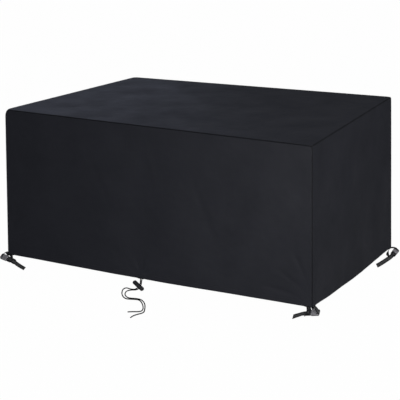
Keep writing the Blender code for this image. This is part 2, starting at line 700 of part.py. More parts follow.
def cord_route(side):
    """From the hem's channel, down through the lock, along the floor to the cord's end."""
    reach = side * CORD_APART / 2
    in_hem = ((side * 0.0300, 0.0080), (side * 0.0200, 0.0080), (side * 0.0110, 0.0066), (side * 0.0052, 0.0010))
    leave = [hang_wall(WALLS[0], Vector((CORD_EXIT_X + off, HEM_Z + up, -HEM_R))) for off, up in in_hem]
    leave.append(hang_wall(WALLS[0], Vector((CORD_EXIT_X + reach, HEM_Z, -HEM_R))) - Vector((0, 0.0006, 0.0080)))
    along = lock_matrix()
    off = LOCK_HOLES_OFF + reach
    through = [along @ Vector((off, 0, height)) for height in (0.0150, 0.0088, -0.0088)]
    rest = FLOOR_Z + CORD_D / 2
    exit_point = through[-1]
    if side < 0:
        fall = [exit_point + Vector((-0.0050, -0.0010, -0.0052)), Vector((-0.0690, -0.5200, rest + 0.0007))]
        floor = LEFT_CORD_FLOOR_MM
    else:
        fall = [exit_point + Vector((-0.0034, -0.0022, -0.0042)), Vector((-0.0625, -0.5245, rest + 0.0001))]
        floor = RIGHT_CORD_FLOOR_MM
    return leave + through + fall + [Vector((x * MM, y * MM, rest)) for x, y in floor]


def make_cord(name, side):
    curve = bpy.data.curves.new(name, "CURVE")
    curve.dimensions = "3D"
    curve.bevel_depth = CORD_D / 2
    curve.bevel_resolution = 2
    curve.use_fill_caps = True
    points = smooth_route(cord_route(side), 1)
    spline = curve.splines.new("POLY")
    spline.points.add(len(points) - 1)
    for point, place in zip(spline.points, points):
        point.co = (*place, 1)
    add_object(name, curve, "round_cord")


def main():
    clear_scene()
    new_collection(PART)
    new_collection("cutters").hide_render = True
    make_top()
    for wall in WALLS:
        make_wall(wall)
    make_corners()
    make_lock()
    make_cord("drawstring_left", -1)
    make_cord("drawstring_right", 1)


main()
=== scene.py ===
# %% [markdown]
# # A fitted cover for patio furniture
# The real thing is five panels of coated polyester, sewn into a box that is open below, with a
# strap and a side-release buckle at each bottom corner and a drawstring in the hem. It hangs over
# furniture that it hides, so the cover is hollow. Here the measured solids are loaded first, and
# every visible surface is then made around them.

# %% Load the measured solids
import math
from collections import namedtuple

import bmesh
import bpy
import numpy as np
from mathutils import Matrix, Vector, noise


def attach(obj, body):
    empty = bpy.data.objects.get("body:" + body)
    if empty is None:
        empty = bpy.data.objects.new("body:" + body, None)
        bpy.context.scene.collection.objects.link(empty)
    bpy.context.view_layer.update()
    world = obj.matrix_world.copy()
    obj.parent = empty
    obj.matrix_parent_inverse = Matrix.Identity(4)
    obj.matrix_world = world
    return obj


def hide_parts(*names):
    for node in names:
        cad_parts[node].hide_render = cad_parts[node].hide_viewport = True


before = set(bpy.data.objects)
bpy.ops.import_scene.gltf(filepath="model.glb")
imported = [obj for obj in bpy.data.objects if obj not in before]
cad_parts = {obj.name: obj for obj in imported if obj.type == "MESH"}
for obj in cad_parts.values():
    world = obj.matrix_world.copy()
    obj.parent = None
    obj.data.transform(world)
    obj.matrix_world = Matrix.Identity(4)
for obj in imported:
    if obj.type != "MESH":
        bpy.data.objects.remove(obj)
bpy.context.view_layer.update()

BODY = "root"
MM = 0.001

# %% [markdown]
# ## The camera
# A cover photographed for a catalogue is seen from a little above, with a long lens, so its edges
# stay almost parallel. The lens, place and target were found from the eight corners of the box.

# %% Camera
CAMERA_PLACE = Vector((2.514, -4.499, 0.861))
CAMERA_TARGET = Vector((-0.009, -0.034, -0.451))
LENS_MM = 100.5


def look_from(place, target):
    """The rotation that turns an object's -Z axis from place to target."""
    return (target - place).to_track_quat("-Z", "Y").to_euler()


bpy.ops.object.select_all(action="DESELECT")
bpy.ops.object.camera_add(location=CAMERA_PLACE, rotation=look_from(CAMERA_PLACE, CAMERA_TARGET))
camera = bpy.context.object
camera.data.lens = LENS_MM
bpy.context.scene.camera = camera
print("camera distance:", round((CAMERA_TARGET - CAMERA_PLACE).length, 3))

# %% [markdown]
# ## The drawstring
# One braided cord runs round the hem, and its two ends leave it together. They pass through a bar
# that locks them and lie on the ground in two loose bends. A cord is a curve with a round bevel:
# its route is a list of places, and a smooth curve is read through them.

# %% Routes of the two cord ends
FLOOR_Z = -0.765
CORD_D = 0.005
REST_Z = FLOOR_Z + CORD_D / 2

LEFT_HANGING_MM = (
    (-73.2, -508.0, -703.1), (-62.9, -507.8, -703.1), (-53.6, -507.7, -704.5), (-47.7, -507.8, -710.0),
    (-45.5, -508.4, -719.0), (-42.7, -516.0, -731.9), (-46.1, -516.0, -737.0), (-55.9, -516.0, -751.7),
    (-60.9, -517.0, -756.9), (-69.0, -520.0, -761.8),
)
RIGHT_HANGING_MM = (
    (-11.3, -507.8, -703.2), (-21.6, -507.7, -703.2), (-30.9, -507.7, -704.5), (-36.9, -507.7, -710.0),
    (-39.1, -508.3, -719.0), (-37.5, -516.0, -735.3), (-41.0, -516.0, -740.5), (-50.7, -516.0, -755.1),
    (-54.1, -518.2, -759.3), (-62.5, -524.5, -762.4),
)
LEFT_FLOOR_MM = (
    (-80, -523.5), (-92, -524.5), (-104, -521), (-114, -523), (-117, -535), (-112, -553),
    (-103, -571), (-92, -589.5), (-79, -607.5), (-64, -624), (-49, -636.5), (-33, -643.5),
    (-16, -640.5), (0, -634), (15, -630.5), (29, -634), (43.5, -645.5), (58, -660.5),
    (72.5, -678), (86, -696), (97, -714), (105, -731), (106.5, -746), (98.5, -757),
    (86, -764.5), (74, -772), (62.7, -781),
)
RIGHT_FLOOR_MM = (
    (-72, -530.5), (-80.5, -538), (-86, -548.5), (-86.5, -561), (-82.5, -575), (-75, -590),
    (-65, -604.5), (-52, -617.5), (-37, -627), (-22, -628.5), (-7, -624), (8, -620),
    (24, -621.5), (40, -630), (56, -643.5), (71, -660), (84, -678), (96, -697),
    (107, -716), (117, -735), (123.5, -752), (122, -768), (115.5, -783.5), (110.5, -799),
    (109, -815), (110.3, -831.7),
)


def smooth_route(points, steps):
    """A smooth curve through the points, read at `steps` places on each span."""
    ends = [2 * points[0] - points[1]] + list(points) + [2 * points[-1] - points[-2]]
    route = []
    for before, start, end, after in zip(ends, ends[1:], ends[2:], ends[3:]):
        for step in range(steps):
            t = step / steps
            route.append(
                start * (2 * t**3 - 3 * t**2 + 1) + (end - before) / 2 * (t**3 - 2 * t**2 + t)
                + end * (3 * t**2 - 2 * t**3) + (after - start) / 2 * (t**3 - t**2)
            )
    return route + [points[-1]]


def make_cord(name, hanging_mm, floor_mm):
    """A curve of round section through the route, and its length."""
    places = [Vector(place) * MM for place in hanging_mm]
    places += [Vector((x * MM, y * MM, REST_Z)) for x, y in floor_mm]
    route = smooth_route(places, 4)
    curve = bpy.data.curves.new(name, "CURVE")
    curve.dimensions = "3D"
    curve.bevel_depth = CORD_D / 2
    curve.bevel_resolution = 3
    curve.use_fill_caps = True
    spline = curve.splines.new("POLY")
    spline.points.add(len(route) - 1)
    for point, place in zip(spline.points, route):
        point.co = (*place, 1)
    spline.use_smooth = True
    cord = bpy.data.objects.new(name, curve)
    bpy.context.scene.collection.objects.link(cord)
    length = sum((b - a).length for a, b in zip(route, route[1:]))
    print(name, "length", round(length, 3))
    return cord, places[0], length


CORDS = {
    "cord_end_left": ("drawstring_left", LEFT_HANGING_MM, LEFT_FLOOR_MM),
    "cord_end_right": ("drawstring_right", RIGHT_HANGING_MM, RIGHT_FLOOR_MM),
}
cords = {}
for cord_name, (solid, hanging_mm, floor_mm) in CORDS.items():
    cords[cord_name] = make_cord(cord_name, hanging_mm, floor_mm)
    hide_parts(solid)

# %% [markdown]
# ## How the box has settled
# A sewn box never hangs square. The table gives how far each corner of the ideal box has moved,
# and every point between them moves by a blend of the eight. The panels all use the same blend,
# so their seams stay together.

# %% The ideal box and where its corners went
LENGTH, WIDTH, DROP = 1.520, 1.040, 0.710
TOP_Z = 0.002
HEM_Z = TOP_Z - DROP
SETTLED_MM = {
    (-1, -1, 1): (-3, -5, -9),
    (-1, 1, 1): (22, 16, 12),
    (1, 1, 1): (-35, -9, 23),
    (1, -1, 1): (15, 1, -26),
    (-1, -1, -1): (-24, -4, 2),
    (1, -1, -1): (24, 22, 2),
    (1, 1, -1): (2, -21, -4),
    (-1, 1, -1): (-10, 10, 0),
}
# How far the cloth draws in where three panels meet, in metres: most at the front left, where
# nothing behind it fills the corner.
CORNER_DRAW = {(-1, -1): 0.0045, (-1, 1): 0.0015, (1, 1): 0.0008, (1, -1): 0.0015}
CORNER_REACH = 0.016


def settled(points):
    """Where points of the ideal box lie on the cover as it hangs."""
    share = points / (LENGTH, WIDTH, DROP) + (0.5, 0.5, -HEM_Z / DROP)
    moved = points.copy()
    for signs, corner_mm in SETTLED_MM.items():
        weight = np.prod(np.where(np.array(signs) > 0, share, 1 - share), axis=1)
        moved += weight[:, None] * np.array(corner_mm) * MM
        if signs[2] > 0:
            corner = np.array((signs[0] * LENGTH / 2, signs[1] * WIDTH / 2, TOP_Z))
            near = np.exp(-((points - corner) ** 2).sum(1) / CORNER_REACH**2)
            moved -= near[:, None] * np.array(signs) * CORNER_DRAW[signs[:2]]
    return moved


def fade(share):
    """1 in the middle of a panel, falling to 0 at both its edges and flat there."""
    return (1 - np.minimum(np.abs(share), 1) ** 2) ** 2


# %% [markdown]
# ## Folds and creases
# Coated cloth is stiff, so the walls show wide, shallow swells instead of sharp folds. Each swell
# is one row of a table. Creases are narrow: they run from the corners and gather where the
# drawstring leaves the hem. A little smooth noise keeps the surface between them uneven.

# %% Tables of swells and creases
Ridge = namedtuple("Ridge", "along up reach_along reach_up slant height")
Crease = namedtuple("Crease", "along up to_along to_up width height")
FRONT_RIDGES = (
    Ridge(-0.58, -0.30, 0.07, 0.22, 0.10, 0.004),
    Ridge(-0.44, -0.42, 0.08, 0.24, -0.10, -0.004),
    Ridge(-0.22, -0.30, 0.10, 0.26, 0.15, 0.003),
    Ridge(-0.05, -0.58, 0.06, 0.12, 0.10, -0.004),
    Ridge(0.14, -0.36, 0.12, 0.28, -0.12, 0.003),
    Ridge(0.38, -0.42, 0.09, 0.24, 0.10, -0.004),
    Ridge(0.60, -0.40, 0.07, 0.24, -0.08, 0.003),
)
BACK_RIDGES = (
    Ridge(-0.50, -0.40, 0.10, 0.26, 0.10, 0.004),
    Ridge(-0.10, -0.36, 0.12, 0.28, -0.12, -0.004),
    Ridge(0.34, -0.42, 0.10, 0.24, 0.10, 0.004),
)
RIGHT_RIDGES = (
    Ridge(-0.30, -0.40, 0.07, 0.24, 0.08, -0.003),
    Ridge(-0.06, -0.36, 0.09, 0.26, -0.10, 0.004),
    Ridge(0.22, -0.44, 0.08, 0.24, 0.10, -0.003),
    Ridge(-0.42, -0.73, 0.13, 0.16, 0.00, 0.024),
)
LEFT_RIDGES = (
    Ridge(-0.20, -0.38, 0.09, 0.26, 0.10, 0.004),
    Ridge(0.18, -0.42, 0.09, 0.24, -0.10, -0.004),
)
TOP_RIDGES = (
    Ridge(-0.42, 0.10, 0.16, 0.20, 0.25, -0.004),
    Ridge(0.06, -0.12, 0.18, 0.20, -0.20, 0.002),
    Ridge(0.46, 0.10, 0.16, 0.20, 0.20, -0.004),
)
CORNER_CREASES = (
    Crease(0.030, -0.640, 0.150, -0.560, 0.010, -0.0016),
    Crease(0.045, -0.670, 0.210, -0.655, 0.009, -0.0014),
    Crease(0.025, -0.600, 0.075, -0.470, 0.011, -0.0014),
    Crease(0.035, -0.060, 0.140, -0.170, 0.013, -0.0012),
    Crease(0.060, -0.035, 0.240, -0.070, 0.011, -0.0010),
)
CORD_CREASES = (
    Crease(-0.041, -0.685, -0.066, -0.610, 0.006, -0.0016),
    Crease(-0.050, -0.690, -0.110, -0.650, 0.006, -0.0014),
    Crease(-0.036, -0.688, -0.024, -0.600, 0.006, -0.0016),
    Crease(-0.030, -0.690, 0.030, -0.645, 0.006, -0.0014),
)
LONG_CREASES = (
    Crease(-0.320, -0.120, -0.180, -0.420, 0.016, -0.0012),
    Crease(0.210, -0.200, 0.330, -0.500, 0.018, -0.0012),
    Crease(-0.020, -0.060, 0.060, -0.300, 0.016, 0.0010),
)


def ridges_at(ridges, along, up):
    """How far the swells push the cloth out at each point."""
    height = np.zeros_like(along)
    for ridge in ridges:
        off = along - ridge.along - ridge.slant * (up - ridge.up)
        along_share, up_share = off / ridge.reach_along, (up - ridge.up) / ridge.reach_up
        height += ridge.height * np.exp(-(along_share**2) - up_share**2)
    return height


def creases_at(creases, along, up):
    """How far the creases move the cloth: each is deepest in the middle of its line."""
    height = np.zeros_like(along)
    for crease in creases:
        run = np.array((crease.to_along - crease.along, crease.to_up - crease.up))
        length = np.hypot(*run)
        share = ((along - crease.along) * run[0] + (up - crease.up) * run[1]) / length**2
        aside = ((along - crease.along) * run[1] - (up - crease.up) * run[0]) / length
        ends = np.sin(np.clip(share, 0, 1) * np.pi)
        height += crease.height * ends * np.exp(-((aside / crease.width) ** 2))
    return height


def both_ends(creases, half):
    """The same creases at both ends of a panel: a little longer at the far one, shallower at the near."""
    longer, lower, shallower = 1.15, 0.97, 0.8
    far = [
        Crease(half - c.along, c.up, half - c.to_along * longer, c.to_up * lower, c.width, c.height)
        for c in creases
    ]
    near = [
        Crease(c.along - half, c.up, c.to_along - half, c.to_up, c.width, c.height * shallower)
        for c in creases
    ]
    return far + near


def soft_noise(points, size, seed):
    """Smooth noise between -1 and 1, its bumps about `size` metres across."""
    return np.array([noise.noise(Vector(point) / size + Vector((seed, 0, 0))) for point in points])


print("creases:", len(CORNER_CREASES), len(CORD_CREASES), len(LONG_CREASES))

# %% [markdown]
# ## Panels, seams and hem
# At a plain seam both panels turn in side by side and their allowances lie together inside, so
# from outside a seam is a narrow groove between two soft folds. The hem of each wall turns up
# inside as a channel. Each panel starts as a flat grid in the plane of its pattern: bending its
# rim gives the seam, extruding its bottom edge gives the hem, and only then is it hung.

# %% Sizes of seams and hem
CLOTH = 0.0012
SEAM_R = 0.0022
SEAM_TURN = math.radians(135)
SEAM_BACK = 2.414 * SEAM_R + 0.00003
ALLOWANCE = 0.006
HEM_R = 0.0049
CORNER_CLEAR = 0.035
SNIP = 0.0008
CORD_EXIT_X, CORD_EXIT_HALF = -0.041, 0.015
Wall = namedtuple("Wall", "name across out half reach bulge droop ridges creases seed step")
WALLS = (
    Wall("front_panel", (1, 0, 0), (0, -1, 0), LENGTH / 2, WIDTH / 2, 0.002, 0.005, FRONT_RIDGES,
         both_ends(CORNER_CREASES, LENGTH / 2) + list(CORD_CREASES) + list(LONG_CREASES), 1.0, 0.0065),
    Wall("back_panel", (-1, 0, 0), (0, 1, 0), LENGTH / 2, WIDTH / 2, 0.004, 0.004, BACK_RIDGES,
         both_ends(CORNER_CREASES, LENGTH / 2) + list(LONG_CREASES), 7.0, 0.0090),
    Wall("left_panel", (0, -1, 0), (-1, 0, 0), WIDTH / 2, LENGTH / 2, 0.006, 0.004, LEFT_RIDGES,
         both_ends(CORNER_CREASES, WIDTH / 2), 13.0, 0.0090),
    Wall("right_panel", (0, 1, 0), (1, 0, 0), WIDTH / 2, LENGTH / 2, 0.006, 0.004, RIGHT_RIDGES,
         both_ends(CORNER_CREASES, WIDTH / 2) + [LONG_CREASES[1]], 19.0, 0.0065),
)
SIDE_SEAM_TOP = TOP_Z - 0.022
RIDGE_FADE = 0.09


def bent(along):
    """Where cloth goes that turns in at a seam: in its own plane, and inwards."""
    turned = np.clip(along, 0, SEAM_R * SEAM_TURN) / SEAM_R
    beyond = np.maximum(along - SEAM_R * SEAM_TURN, 0)
    across = np.minimum(along, 0) + SEAM_R * np.sin(turned) + beyond * math.cos(SEAM_TURN)
    return across, SEAM_R * (1 - np.cos(turned)) + beyond * math.sin(SEAM_TURN)


def seam_marks(start):
    """Distances along the cloth past `start`, round the fold and down the allowance."""
    bend = SEAM_R * SEAM_TURN
    flat = [start - 0.005, start - 0.002]
    fold = [start + bend * share for share in (0.0, 0.17, 0.33, 0.5, 0.67, 0.83, 1.0)]
    return flat + fold + [start + bend + ALLOWANCE]


def even_run(start, end, step, marks=()):
    """Evenly spaced values with the marks among them, none too close to a mark."""
    count = round((end - start) / step)
    run = [start + (end - start) * index / count for index in range(1, count)]
    free = [value for value in run if all(abs(value - mark) > step / 2 for mark in marks)]
    return sorted(free + list(marks))


def flat_grid(name, across, rows):
    """A grid in the plane of the pattern, made a mesh that can be edited."""
    bpy.ops.object.select_all(action="DESELECT")
    bpy.ops.mesh.primitive_grid_add(x_subdivisions=len(across) - 1, y_subdivisions=len(rows) - 1, size=2)
    sheet = bpy.context.object
    sheet.name = sheet.data.name = name
    places = np.empty(len(sheet.data.vertices) * 3)
    sheet.data.vertices.foreach_get("co", places)
    places = places.reshape(-1, 3)
    column = np.rint((places[:, 0] + 1) / 2 * (len(across) - 1)).astype(int)
    row = np.rint((places[:, 1] + 1) / 2 * (len(rows) - 1)).astype(int)
    flat = np.stack([np.array(across)[column], np.array(rows)[row], np.zeros(len(row))], axis=1)
    sheet.data.vertices.foreach_set("co", flat.ravel())
    return sheet


def turn_edge(shape, edges, moves):
    """Extrudes the edges once for each move of the new points."""
    for move in moves:
        new = bmesh.ops.extrude_edge_only(shape, edges=edges)["geom"]
        for vert in (item for item in new if isinstance(item, bmesh.types.BMVert)):
            vert.co = move(vert.co)
        edges = [item for item in new if isinstance(item, bmesh.types.BMEdge)]


def sort_by_place(shape):
    """Puts the parts in order of place, because extruding can order new ones differently each run."""
    places = (
        (shape.verts, lambda vert: tuple(vert.co)),
        (shape.edges, lambda edge: tuple(edge.verts[0].co + edge.verts[1].co)),
        (shape.faces, lambda face: tuple(face.calc_center_median())),
    )
    for parts, place in places:
        rank = {part: index for index, part in enumerate(sorted(parts, key=place))}
        parts.sort(key=rank.get)


def hem_zones(wall):
    """The stretches of a hem that are turned up as a channel."""
    end = wall.half - CORNER_CLEAR - SNIP
    if wall.name != "front_panel":
        return [(-end, end)]
    return [(-end, CORD_EXIT_X - CORD_EXIT_HALF - SNIP), (CORD_EXIT_X + CORD_EXIT_HALF + SNIP, end)]


def turn_up_hem(sheet, wall):
    """Turns the channel up inside, and leaves the hem plain at the straps and the cords."""
    foot = HEM_Z + HEM_R
    zones = hem_zones(wall)
    shape = bmesh.new()
    shape.from_mesh(sheet.data)
    plain, channel = [], []
    for edge in shape.edges:
        first, second = (vert.co for vert in edge.verts)
        if not edge.is_boundary or abs(first.y - foot) > 1e-5 or abs(second.y - foot) > 1e-5:
            continue
        middle = (first.x + second.x) / 2
        if any(start < middle < end for start, end in zones):
            channel.append(edge)
        elif all(abs(middle - mark) > SNIP for zone in zones for mark in zone):
            plain.append(edge)
    turn_edge(shape, plain, [lambda point: Vector((point.x, HEM_Z, point.z))])
    moves = []
    for eighth in range(1, 9):
        angle = math.pi * eighth / 8
        down, deep = HEM_R * math.sin(angle), HEM_R * (1 - math.cos(angle))
        moves.append(lambda point, down=down, deep=deep: Vector((point.x, foot - down, -deep)))
    for height, deep in ((0.012, 2), (0.018, 1.9), (0.022, 1.2), (0.026, 0.62), (0.034, 0.60)):
        moves.append(lambda point, height=height, deep=deep: Vector((point.x, HEM_Z + height, -deep * HEM_R)))
    turn_edge(shape, channel, moves)
    sort_by_place(shape)
    shape.to_mesh(sheet.data)
    shape.free()


def read_points(mesh):
    places = np.empty(len(mesh.vertices) * 3)
    mesh.vertices.foreach_get("co", places)
    return places.reshape(-1, 3)


def add_pattern_uv(mesh, flat):
    """A UV map in metres on the cut cloth, so that its weave follows the panel."""
    layer = mesh.uv_layers[0] if mesh.uv_layers else mesh.uv_layers.new(name="UVMap")
    corners = np.empty(len(mesh.loops), int)
    mesh.loops.foreach_get("vertex_index", corners)
    uv = np.stack([flat[:, 0], flat[:, 1] + flat[:, 2]], axis=1)[corners]
    layer.data.foreach_set("uv", uv.ravel())


def add_seam_distance(mesh, distance):
    """How far each point is from the nearest seam or hem edge, in metres: the cloth's finish paints shade
    near it.
    """
    layer = mesh.attributes.new("from_seam", "FLOAT", "POINT")
    layer.data.foreach_set("value", distance)


def seam_bent(values, start):
    """Bends both ends of a run of pattern distances in, and gives the depth."""
    across, deep = bent(np.abs(values) - start)
    return np.copysign(across + start, values), deep


PUCKER_FROM, PUCKER_FADE = 0.006, 0.018


def puckered(edge):
    """How strongly the seam's thread draws the cloth up, from the distance to the seam."""
    return np.exp(-np.maximum(edge - PUCKER_FROM, 0) / PUCKER_FADE)


def hang_wall(wall, flat):
    """Points of a wall's pattern as they hang."""
    along, deep_side = seam_bent(flat[:, 0], wall.half - SEAM_BACK)
    up, deep_top = bent(flat[:, 1] - (TOP_Z - SEAM_BACK))
    up = up + TOP_Z - SEAM_BACK
    deep = deep_side + deep_top - flat[:, 2]
    side = fade(along / (wall.half - CORNER_CLEAR))
    share = np.clip((SIDE_SEAM_TOP - up) / (SIDE_SEAM_TOP - HEM_Z), 0, 1)
    in_play = side * np.minimum(share / RIDGE_FADE, 1)
    push = side * wall.bulge * share**2 + in_play * ridges_at(wall.ridges, along, up)
    ideal = np.outer(along, wall.across) + np.outer(wall.reach - deep, wall.out)
    ideal[:, 2] = up
    near_seam = np.minimum(np.minimum(wall.half - np.abs(along), TOP_Z - up) / 0.02, 1)
    push += near_seam * creases_at(wall.creases, along, up)
    push += near_seam * 0.0012 * soft_noise(ideal, 0.11, wall.seed)
    push += near_seam * 0.0004 * soft_noise(ideal, 0.030, wall.seed + 3)
    pucker = puckered(TOP_Z - up) + puckered(wall.half - np.abs(along))
    push += near_seam * pucker * 0.0009 * soft_noise(ideal, 0.014, wall.seed + 5)
    hung = settled(ideal) + push[:, None] * np.array(wall.out)
    hung[:, 2] -= side * wall.droop * share
    return hung


def hang_top(flat):
    """Points of the top's pattern as they lie."""
    x, deep_x = seam_bent(flat[:, 0], LENGTH / 2 - SEAM_BACK)
    y, deep_y = seam_bent(flat[:, 1], WIDTH / 2 - SEAM_BACK)
    side = fade(x / (LENGTH / 2 - CORNER_CLEAR)) * fade(y / (WIDTH / 2 - CORNER_CLEAR))
    ideal = np.stack([x, y, TOP_Z - deep_x - deep_y], axis=1)
    push = side**0.5 * ridges_at(TOP_RIDGES, x, y)
    edge = np.minimum(LENGTH / 2 - np.abs(x), WIDTH / 2 - np.abs(y))
    near_seam = np.clip(edge / 0.03, 0, 1)
    push += near_seam * (0.0012 * soft_noise(ideal, 0.13, 29) + 0.0004 * soft_noise(ideal, 0.035, 31))
    push += np.clip(edge / 0.02, 0, 1) * puckered(edge) * 0.0008 * soft_noise(ideal, 0.014, 37)
    hung = settled(ideal)
    hung[:, 2] += push
    return hung


def finish_sheet(sheet, flat, hung, edges):
    """Gives the hung points, the pattern's UV map and the cloth's thickness to the sheet."""
    add_pattern_uv(sheet.data, flat)
    add_seam_distance(sheet.data, np.maximum(np.min(edges, axis=0), 0))
    sheet.data.vertices.foreach_set("co", hung.ravel())
    sheet.data.update()
    solidify = sheet.modifiers.new("thickness", "SOLIDIFY")
    solidify.thickness = CLOTH
    solidify.offset = -1
    solidify.material_offset = 1
    bpy.context.view_layer.objects.active = sheet
    bpy.ops.object.modifier_apply(modifier=solidify.name)
    sheet.data.shade_smooth()
    print(sheet.name, "points", len(sheet.data.vertices), "faces", len(sheet.data.polygons))


# %% Make the walls
def make_wall(wall):
    """One wall: its flat pattern, its hem turned up, and then the shape that it hangs in."""
    marks = []
    for first, last in hem_zones(wall):
        marks += [first - SNIP, first, last, last + SNIP]
    sides = seam_marks(wall.half - SEAM_BACK)
    middle = even_run(-sides[0], sides[0], wall.step, sorted(marks))
    across = [-mark for mark in reversed(sides)] + middle + sides
    top = TOP_Z - SEAM_BACK
    upper = seam_marks(top)
    rows = [HEM_Z + HEM_R] + even_run(HEM_Z + HEM_R, upper[0], wall.step) + upper
    sheet = flat_grid(wall.name + "_cloth", across, rows)
    turn_up_hem(sheet, wall)
    flat = read_points(sheet.data)
    edges = (wall.half - np.abs(flat[:, 0]), TOP_Z - flat[:, 1], flat[:, 1] - HEM_Z + 4 * np.abs(flat[:, 2]))
    finish_sheet(sheet, flat, hang_wall(wall, flat), edges)
    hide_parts(wall.name)
    return sheet


wall_sheets = {wall.name: make_wall(wall) for wall in WALLS}

# %% Make the top
TOP_STEP = 0.0085
half_x, half_y = LENGTH / 2 - SEAM_BACK, WIDTH / 2 - SEAM_BACK
sides_x, sides_y = seam_marks(half_x), seam_marks(half_y)
top_across = [-mark for mark in reversed(sides_x)] + even_run(-sides_x[0], sides_x[0], TOP_STEP) + sides_x
top_rows = [-mark for mark in reversed(sides_y)] + even_run(-sides_y[0], sides_y[0], TOP_STEP) + sides_y
top_sheet = flat_grid("top_panel_cloth", top_across, top_rows)
top_flat = read_points(top_sheet.data)
top_edges = (LENGTH / 2 - np.abs(top_flat[:, 0]), WIDTH / 2 - np.abs(top_flat[:, 1]))
finish_sheet(top_sheet, top_flat, hang_top(top_flat), top_edges)
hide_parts("top_panel")

# %% [markdown]
# ## Webbing
# A strap is a flat band, so its shape is known once the path of both its edges is. The solid of
# each strap is a chain of such pairs, with flat facets between them. The pairs are read back from
# its points, a smooth curve is run through each edge, and a woven section with rounded selvedges
# is carried along it. Subdividing the facets instead would round off the cut ends.

# %% Read the path of a strap from its solid
CORNERS = ("corner_1", "corner_2", "corner_3", "corner_4")


def clean_copy(node, name):
    """A copy of a solid with its doubled points joined."""
    bpy.ops.object.select_all(action="DESELECT")
    copy = bpy.data.objects.new(name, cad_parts[node].data.copy())
    bpy.context.scene.collection.objects.link(copy)
    copy.data.name = name
    copy.data.materials.clear()
    bpy.context.view_layer.objects.active = copy
    copy.select_set(True)
    bpy.ops.object.mode_set(mode="EDIT")
    bpy.ops.mesh.select_all(action="SELECT")
    bpy.ops.mesh.remove_doubles(threshold=0.00001)
    bpy.ops.object.mode_set(mode="OBJECT")
    return copy


def rings_from(face_pair):
    """The rings of four points that follow each other from one end of a band, or None."""
    ring = {item for face in face_pair for item in face.verts}
    rings, seen = [], set(ring)
    while ring:
        if len(ring) != 4:
            return None
        rings.append([item.co.copy() for item in ring])
        ring = {edge.other_vert(item) for item in ring for edge in item.link_edges} - seen
        seen |= ring
    return rings


def band_rings(mesh):
    """All the rings of a band, from its upper end."""
    shape = bmesh.new()
    shape.from_mesh(mesh)
    found = []
    for edge in shape.edges:
        if len(edge.link_faces) == 2:
            rings = rings_from(edge.link_faces)
            if rings and 4 * len(rings) == len(shape.verts):
                found.append(rings)
    shape.free()
    return max(found, key=lambda rings: max(point.z for point in rings[0]))


def edge_pairs(rings):
    """The two edges of the band at each ring: the middles of its two nearest pairs of points."""
    pairs = []
    for a, b, c, d in rings:
        choices = (((a, b), (c, d)), ((a, c), (b, d)), ((a, d), (b, c)))
        best = min(choices, key=lambda choice: sum((first - second).length for first, second in choice))
        pair = [(first + second) / 2 for first, second in best]
        if pairs:
            straight = sum((new - old).length for new, old in zip(pair, pairs[-1]))
            crossed = sum((new - old).length for new, old in zip(reversed(pair), pairs[-1]))
            if crossed < straight:
                pair.reverse()
        else:
            pair.sort(key=tuple)
        pairs.append(pair)
    return pairs


# %% Carry the woven section along it
WEB_WIDTH = 0.020
# Half of the section: how far across from the middle, and how thick there, in millimetres.
SECTION_MM = (
    (-10.0, 0.0), (-9.93, 0.36), (-9.65, 0.60), (-9.1, 0.74), (-7.2, 0.71), (-5.0, 0.66), (-1.8, 0.70),
    (1.8, 0.70), (5.0, 0.66), (7.2, 0.71), (9.1, 0.74), (9.65, 0.60), (9.93, 0.36), (10.0, 0.0),
)


def make_strap(node):
    """The webbing of one strap, swept along the path of its solid, and its length."""
    source = clean_copy(node, node + "_path")
    pairs = edge_pairs(band_rings(source.data))
    bpy.data.objects.remove(source, do_unlink=True)
    left, right = (np.array(smooth_route([pair[side] for pair in pairs], 3)) for side in (0, 1))
    middle = (left + right) / 2
    across = (right - left) / np.linalg.norm(right - left, axis=1)[:, None]
    ahead = np.gradient(middle, axis=0)
    face = np.cross(across, ahead)
    face /= np.linalg.norm(face, axis=1)[:, None]
    run = np.concatenate([[0], np.cumsum(np.linalg.norm(np.diff(middle, axis=0), axis=1))])
    section = list(SECTION_MM) + [(x, -thick) for x, thick in reversed(SECTION_MM[1:-1])]
    ring = len(section)
    points = np.concatenate([middle + across * x * MM + face * thick * MM for x, thick in section])
    points = points.reshape(ring, -1, 3).transpose(1, 0, 2).reshape(-1, 3)
    faces = [list(range(ring)), list(range(len(points) - 1, len(points) - 1 - ring, -1))]
    for row in range(len(middle) - 1):
        for column in range(ring):
            after = (column + 1) % ring
            near, far = row * ring, (row + 1) * ring
            faces.append([near + column, far + column, far + after, near + after])
    mesh = bpy.data.meshes.new(node + "_webbing")
    mesh.from_pydata(points.tolist(), [], faces)
    corners = np.empty(len(mesh.loops), int)
    mesh.loops.foreach_get("vertex_index", corners)
    place = np.array([x for x, _ in section]) * MM + WEB_WIDTH / 2
    uv = np.stack([place[corners % ring], run[corners // ring]], axis=1)
    mesh.uv_layers.new(name="UVMap").data.foreach_set("uv", uv.ravel())
    mesh.shade_smooth()
    strap = bpy.data.objects.new(mesh.name, mesh)
    bpy.context.scene.collection.objects.link(strap)
    bpy.context.view_layer.objects.active = strap
    strap.select_set(True)
    bpy.ops.object.mode_set(mode="EDIT")
    bpy.ops.mesh.select_all(action="SELECT")
    bpy.ops.mesh.normals_make_consistent(inside=False)
    bpy.ops.object.mode_set(mode="OBJECT")
    bpy.ops.object.shade_smooth_by_angle(angle=math.radians(50))
    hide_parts(node)
    print(strap.name, "rows", len(pairs), "length", round(run[-1], 4), "faces", len(mesh.polygons))
    return strap, float(run[-1])


STRAP_KINDS = ("fixed_strap", "adjusting_strap")
straps = [make_strap(corner + "_" + kind) for corner in CORNERS for kind in STRAP_KINDS]

# %% [markdown]
# ## Buckles and cord lock
# The solids of these small mouldings already have the right shape. A copy of each is cleaned of
# the triangles that its flat faces were cut into, and gets the small round edges that every
# plastic moulding has.

